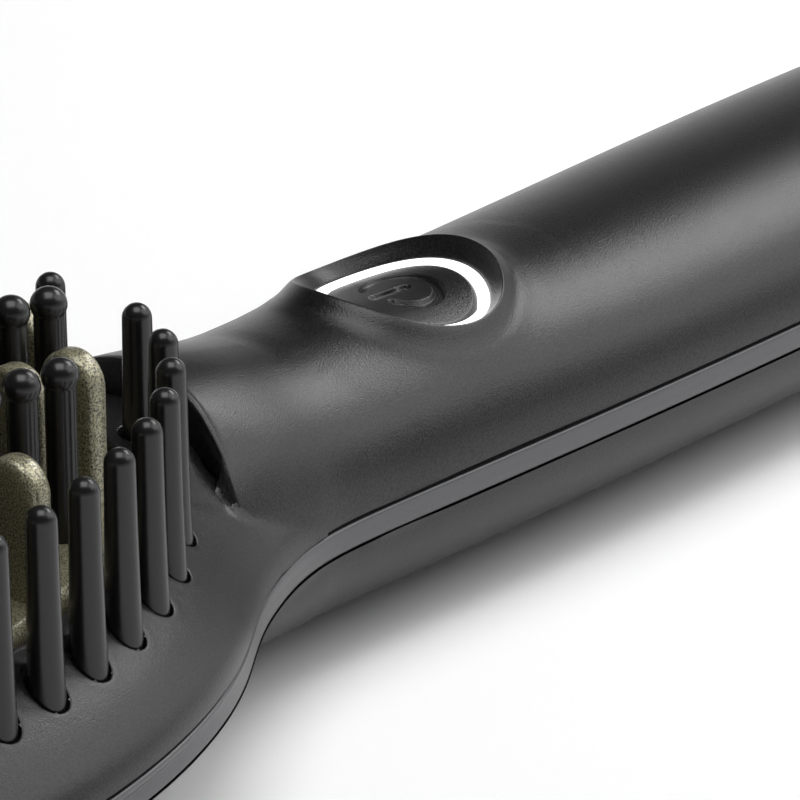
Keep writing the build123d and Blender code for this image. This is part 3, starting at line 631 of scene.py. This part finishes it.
fins = []
for row, count in ((0, 12), (1, 11), (2, 6)):
    for side in ((-1, 1) if row else (1,)):
        for number in range(count):
            x = HEAD_X + (number - (count - 1) / 2) * FIN_PITCH
            y = side * row * FIN_ROW_PITCH
            fin = skin(f"fin_{row}_{'a' if side > 0 else 'b'}_{number:02d}", fin_points(x, y), flip=True)
            caps = bmesh.new()
            caps.from_mesh(fin.data)
            caps.verts.ensure_lookup_table()
            across = len(caps.verts) // 10
            caps.faces.new([caps.verts[i] for i in range(across)])
            caps.faces.new([caps.verts[i] for i in range(9 * across, 10 * across)][::-1])
            caps.to_mesh(fin.data)
            caps.free()
            fins.append(fin)
for piece in [plate] + fins:
    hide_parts("heater_plate")
ceramic = Finish("speckled_ceramic_coat", Roughness=0.3, Coat_Roughness=0.15)
speck = ceramic.noise(5200, 3.0, 0.75)
drift = ceramic.noise(260, 2.0)
flecks = speck.above(0.36, 0.6)
ceramic.feed(ceramic.shader.inputs["Base Color"],
             ceramic.blend(flecks, (0.012, 0.012, 0.008), (0.5, 0.47, 0.31)))
ceramic.feed(ceramic.shader.inputs["Metallic"], flecks * 0.6)
ceramic.feed(ceramic.shader.inputs["Coat Weight"], 0.35 + drift * 0.3)
ceramic.relief(speck, 0.00006, 0.6)
ceramic.on(plate, *fins)

# Ball pins: heat-resistant nylon pins with a ball tip that keep the skin off the hot fins.
# They come up through holes in the plate from their own carrier.
PIN_RADIUS, BALL_RADIUS, BALL_HEIGHT = 1.45, 1.75, 48.45
PIN_PITCH, PIN_ROW_PITCH = 4.8, 10.8
PIN_SIDES = 28


def turned(name, x, y, outline):
    """A pin turned about an upright axis from its radius and height outline."""
    columns = [[(x + radius * math.cos(a), y + radius * math.sin(a), z) for radius, z in outline]
               for a in np.linspace(0, 2 * math.pi, PIN_SIDES, endpoint=False)]
    return skin(name, columns, around=True)


pins = []
for row, reach in ((0.5, 8), (1.5, 6)):
    for side in (-1, 1):
        for number in range(-reach, reach + 1):
            x, y = HEAD_X + number * PIN_PITCH, side * row * PIN_ROW_PITCH
            middle = crown(BALL_HEIGHT, x, y)
            start = -math.acos(PIN_RADIUS / BALL_RADIUS)
            ball = [(BALL_RADIUS * math.cos(a), middle + (BALL_RADIUS - 0.1 * (a > 0)) * math.sin(a))
                    for a in np.linspace(math.pi / 2 - 0.02, start, 16)]
            pin = turned(f"ball_pin_{int(row)}_{'a' if side > 0 else 'b'}_{number + reach:02d}", x, y,
                         ball + [(PIN_RADIUS, ball[-1][1] - 0.05), (PIN_RADIUS, 36.0),
                                 (PIN_RADIUS + 0.05, 29.0), (PIN_RADIUS + 0.05, 20.0)])
            pins.append(pin)
for pin in pins:
    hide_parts("bristle_carrier")
nylon = Finish("satin_pin_nylon", Roughness=0.27)
mould = nylon.noise(1500, 2.0)
nylon.feed(nylon.shader.inputs["Base Color"],
           nylon.blend(mould, (0.006, 0.006, 0.0065), (0.012, 0.012, 0.0125)))
nylon.relief(mould, 0.00001, 0.4)
nylon.on(*pins)

# Guard pins: an outer ring of plain round-tipped pins through holes in the shoulder.
# Moulded with their carrier in the same nylon, a little thicker at the root.
GUARD_COUNT, GUARD_GAP, GUARD_RADII, GUARD_TIP = 38, 11.4, (50.5, 31.0), 41.9


def guard_places():
    """Even places round the head's oval, apart from a wider gap toward the handle."""
    angles = np.linspace(0, 2 * math.pi, 3601)
    x, y = GUARD_RADII[0] * np.cos(angles), GUARD_RADII[1] * np.sin(angles)
    lengths = np.concatenate(([0.0], np.cumsum(np.hypot(np.diff(x), np.diff(y)))))
    targets = GUARD_GAP / 2 + (lengths[-1] - GUARD_GAP) * np.arange(GUARD_COUNT) / (GUARD_COUNT - 1)
    return [(HEAD_X + float(np.interp(t, lengths, x)), float(np.interp(t, lengths, y))) for t in targets]


guards = []
for number, (x, y) in enumerate(guard_places()):
    tip = [(1.43 * math.cos(a), GUARD_TIP - 1.43 + 1.43 * math.sin(a))
           for a in np.linspace(math.pi / 2 - 0.02, 0, 10)]
    guard = turned(f"guard_pin_{number:02d}", x, y,
                   tip + [(1.5, 34.0), (1.62, 28.0), (1.75, 24.0), (1.75, 19.0)])
    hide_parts("guard_carrier")
    guards.append(guard)
nylon.on(*guards)
open_up(deck, guard_places(), 2.25)
for number, guard_place in enumerate(guard_places()):
    hole = hole_lip(f"guard_hole_{number:02d}", guard_place, 1.98, 3.1, deck_surface, 19.5, 1)
    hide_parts("top_shell")
    lacquer.on(hole)

# Side trim: a satin grey band snapped into the seam, with a tongue behind it that closes the groove.
# Moulded, painted in a fine metallic, flat along the handle and creased round the head.
TRIM_LEVELS = (13.0, 15.7)


def band_points():
    """The band's section, from its tongue out over the face and back, carried all round the seam."""
    right = OUTLINE[::2].copy()
    right[0, 1] = 0.0
    edge = np.concatenate([right[::-1], (right * (1, -1))[1:]])
    run = np.gradient(edge, axis=0)
    outward = np.stack([run[:, 1], -run[:, 0]], axis=1) / np.linalg.norm(run, axis=1, keepdims=True)
    crease = 1 - ease(edge[:, 0], -48, -26)
    low, high = TRIM_LEVELS
    columns = []
    for point, side, depth in zip(edge, outward, crease):
        profile = ((2.2, SEAM_HIGH), (0.85, SEAM_HIGH), (0.8, high), (0.32, high), (0.1, high - 0.1),
                   (0.0, high - 0.35), (0.02 + 0.45 * depth, high - 1.1), (0.02 + 0.5 * depth, high - 1.5),
                   (0.0, low + 0.35), (0.08, low + 0.08), (0.2, low), (0.8, low), (0.85, SEAM_LOW),
                   (2.2, SEAM_LOW))
        columns.append([(point[0] - side[0] * inset, point[1] - side[1] * inset, z)
                        for inset, z in profile])
    return columns


trim = skin("side_trim_band", band_points())
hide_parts("side_trim")
trim_paint = Finish("trim_metallic_paint", Roughness=0.3, Metallic=0.65)
flake = trim_paint.noise(9000, 2.0, 0.6)
trim_paint.feed(trim_paint.shader.inputs["Base Color"],
                trim_paint.blend(flake, (0.1, 0.1, 0.105), (0.15, 0.15, 0.155)))
trim_paint.relief(flake, 0.000008, 0.3)
trim_paint.on(trim)

# Tail cap: a rounded cap that closes both shells at the tail, with a ledge behind it for the joint.
# The same lacquered nylon, bored for the swivelling bush.
BUSH_Z = 14.4
CAP_STATIONS = ((130.5, 17.0, 11.2), (131.1, 17.1, 11.3), (131.5, 17.3, 11.42), (133.0, 17.0, 11.15),
                (134.5, 16.4, 10.6), (136.0, 15.4, 9.8), (137.2, 14.2, 9.0), (138.0, 12.9, 8.2),
                (138.4, 11.8, 7.7), (138.55, 10.5, 7.3), (138.6, 8.6, 6.9), (138.6, 6.7, 6.5),
                (138.5, 6.35, 6.35), (138.2, 6.15, 6.15), (134.0, 6.12, 6.12))


def cap_points():
    columns = []
    for angle in np.linspace(0, 2 * math.pi, 120, endpoint=False):
        across, up_way = math.cos(angle), math.sin(angle)
        edge = (16.2, 9.6) if up_way >= 0 else (12.85, 10.05)
        column = [(130.9, 17.4 * share * across, BUSH_Z + (edge[0] + edge[1] * up_way - BUSH_Z) * share)
                  for share in (0.999, 0.985)]
        column += [(x, half_across * across, BUSH_Z + half_up * up_way)
                   for x, half_across, half_up in CAP_STATIONS]
        columns.append(column)
    return columns


cap = skin("tail_cap_skin", cap_points(), around=True, flip=True)
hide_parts("tail_cap")
lacquer.on(cap)

# Swivel bush: a bare moulding that turns in the tail cap, tapered and bored for the supply cord.
# A shallow groove near its nose takes the finger that turns it.
BUSH_OUTLINE = ((131.0, 6.0), (135.0, 6.0), (137.4, 5.71), (139.1, 5.5), (139.3, 5.25), (139.7, 5.2),
                (139.9, 5.4), (143.8, 4.94), (144.5, 4.84), (144.85, 4.62), (145.0, 4.35), (145.0, 4.0),
                (144.88, 3.75), (144.5, 3.6), (120.0, 3.6))


def bush_points():
    return [[(x, radius * math.cos(a), BUSH_Z + radius * math.sin(a)) for x, radius in BUSH_OUTLINE]
            for a in np.linspace(0, 2 * math.pi, 80, endpoint=False)]


bush = skin("cord_bush_skin", bush_points(), body="cord_swivel", around=True, flip=True)
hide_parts("cord_bush")


def two_tone(name, dark, light, scale, roughness, **constants):
    """A plain finish whose colour and sheen vary a little from place to place."""
    made = Finish(name, **constants)
    cloud = made.noise(scale, 3.0)
    made.feed(made.shader.inputs["Base Color"], made.blend(cloud, dark, light))
    made.feed(made.shader.inputs["Roughness"], roughness + cloud * 0.12)
    made.relief(cloud, 0.00001, 0.3)
    return made


two_tone("bush_moulding", (0.01, 0.01, 0.01), (0.02, 0.02, 0.021), 900, 0.4).on(bush)

# Inside: heater strips and sheets, board with its parts, leads, screws and the swivel's metal.
# Each keeps its solid from the frame and takes the finish of its material slot.
INNER_FINISHES = {
    "heater_ceramic": two_tone("sintered_ceramic", (0.7, 0.7, 0.66), (0.86, 0.86, 0.83), 1200, 0.55),
    "insulation": two_tone("amber_film", (0.42, 0.2, 0.04), (0.58, 0.32, 0.09), 500, 0.25, Coat_Weight=0.5),
    "steel": two_tone("zinc_plated_steel", (0.5, 0.5, 0.52), (0.66, 0.66, 0.66), 1800, 0.28, Metallic=1.0),
    "brass": two_tone("plain_brass", (0.6, 0.44, 0.2), (0.76, 0.58, 0.3), 1500, 0.25, Metallic=1.0),
    "board_green": two_tone("solder_mask", (0.02, 0.13, 0.05), (0.05, 0.22, 0.1), 700, 0.35, Coat_Weight=0.4),
    "component_black": two_tone("moulded_component", (0.02, 0.02, 0.02), (0.045, 0.045, 0.045), 1600, 0.5),
    "lamp_white": two_tone("clear_lamp", (0.88, 0.88, 0.82), (0.97, 0.97, 0.93), 900, 0.15, Coat_Weight=0.6),
    "lead_red": two_tone("red_silicone", (0.36, 0.03, 0.03), (0.5, 0.06, 0.05), 1100, 0.45),
    "lead_white": two_tone("white_silicone", (0.7, 0.7, 0.68), (0.84, 0.84, 0.82), 1100, 0.45),
}
for inner_piece in frame["record"]["subparts"]:
    node = frame["nodes"][inner_piece["node"]]
    if inner_piece["material_slot"] in INNER_FINISHES and not node.hide_render:
        INNER_FINISHES[inner_piece["material_slot"]].on(node)

# Camera, floor and lamps: the brush lies on a white table that runs into a white backdrop.
# One lamp hangs overhead, a narrow one past the tail draws the bright line along the handle,
# and two wide ones fill the near side. The camera looks from the photograph's side with a long lens.
AZIMUTH, ELEVATION, DISTANCE, LENS = -48.9, 24.0, 0.54, 243.0
back = Vector((math.sin(math.radians(AZIMUTH)) * math.cos(math.radians(ELEVATION)),
               -math.cos(math.radians(AZIMUTH)) * math.cos(math.radians(ELEVATION)),
               math.sin(math.radians(ELEVATION))))
right = Vector((-back.y, back.x, 0)).normalized()
up = back.cross(right)
camera = bpy.data.objects.new("camera", bpy.data.cameras.new("camera"))
camera.data.sensor_width = 36.0
camera.data.lens = LENS
camera.data.clip_start = 0.05
camera.location = Vector((0.007, 0, 0.028)) + back * DISTANCE - right * 0.00015 - up * 0.0112
camera.rotation_euler = back.to_track_quat("Z", "Y").to_euler()
bpy.context.scene.collection.objects.link(camera)
bpy.context.scene.camera = camera

bpy.ops.mesh.primitive_plane_add(size=6, location=(0, 0, -0.0002))
table = bpy.context.object
table.name = "table"
paper = Finish("white_table", Roughness=0.9)
seen = (paper.node("LightPath", output="Is Camera Ray") + paper.node("LightPath", output="Is Glossy Ray")
        + paper.node("LightPath", output="Is Transmission Ray")).above(0.0, 1.0)
sheet = paper.node("BsdfDiffuse", None, {"Color": paper.blend(seen, (0.75, 0.75, 0.75), (1.1, 1.1, 1.1))})
backdrop = paper.node("Emission", None, {"Color": (1, 1, 1, 1), "Strength": 1.0})
distance = paper.node("VectorMath", {"operation": "LENGTH"}, {0: paper.place()}, "Value")
surface = paper.node("MixShader", None, {0: seen * distance.above(0.17, 0.42), 1: sheet, 2: backdrop})
paper.tree.links.new(surface.socket, paper.tree.nodes["Material Output"].inputs["Surface"])
paper.on(table)

world = bpy.data.worlds.new("room")
bpy.context.scene.world = world
world.use_nodes = True
room = world.node_tree
direction = room.nodes.new("ShaderNodeTexCoord")
rise = room.nodes.new("ShaderNodeSeparateXYZ")
walls = room.nodes.new("ShaderNodeMapRange")
walls.interpolation_type = "SMOOTHSTEP"
for socket, value in (("From Min", 0.12), ("From Max", 0.3), ("To Min", 0.6), ("To Max", 0.07)):
    walls.inputs[socket].default_value = value
room.links.new(direction.outputs["Generated"], rise.inputs[0])
room.links.new(rise.outputs["Z"], walls.inputs["Value"])
room.links.new(walls.outputs[0], room.nodes["Background"].inputs["Strength"])
room.nodes["Background"].inputs["Color"].default_value = (1, 1, 1, 1)


def softbox(name, place, size, energy):
    """An oblong soft lamp that faces the middle of the brush."""
    lamp = bpy.data.objects.new(name, bpy.data.lights.new(name, "AREA"))
    lamp.data.shape = "RECTANGLE"
    lamp.data.size, lamp.data.size_y = size
    lamp.data.energy = energy
    lamp.location = place
    lamp.rotation_euler = Vector(place).to_track_quat("Z", "Y").to_euler()
    bpy.context.scene.collection.objects.link(lamp)


softbox("overhead_softbox", (-0.1, -0.1, 1.3), (0.9, 0.9), 8.8)
softbox("tail_softbox", (0.515, -0.02, 0.48), (0.32, 0.2), 1.3)
softbox("side_softbox", (0.455, -0.542, 0.707), (0.62, 0.62), 2.5)
softbox("front_softbox", (1.01, -0.47, 0.45), (0.9, 0.5), 1.7)

bpy.context.scene.view_settings.view_transform = "Standard"
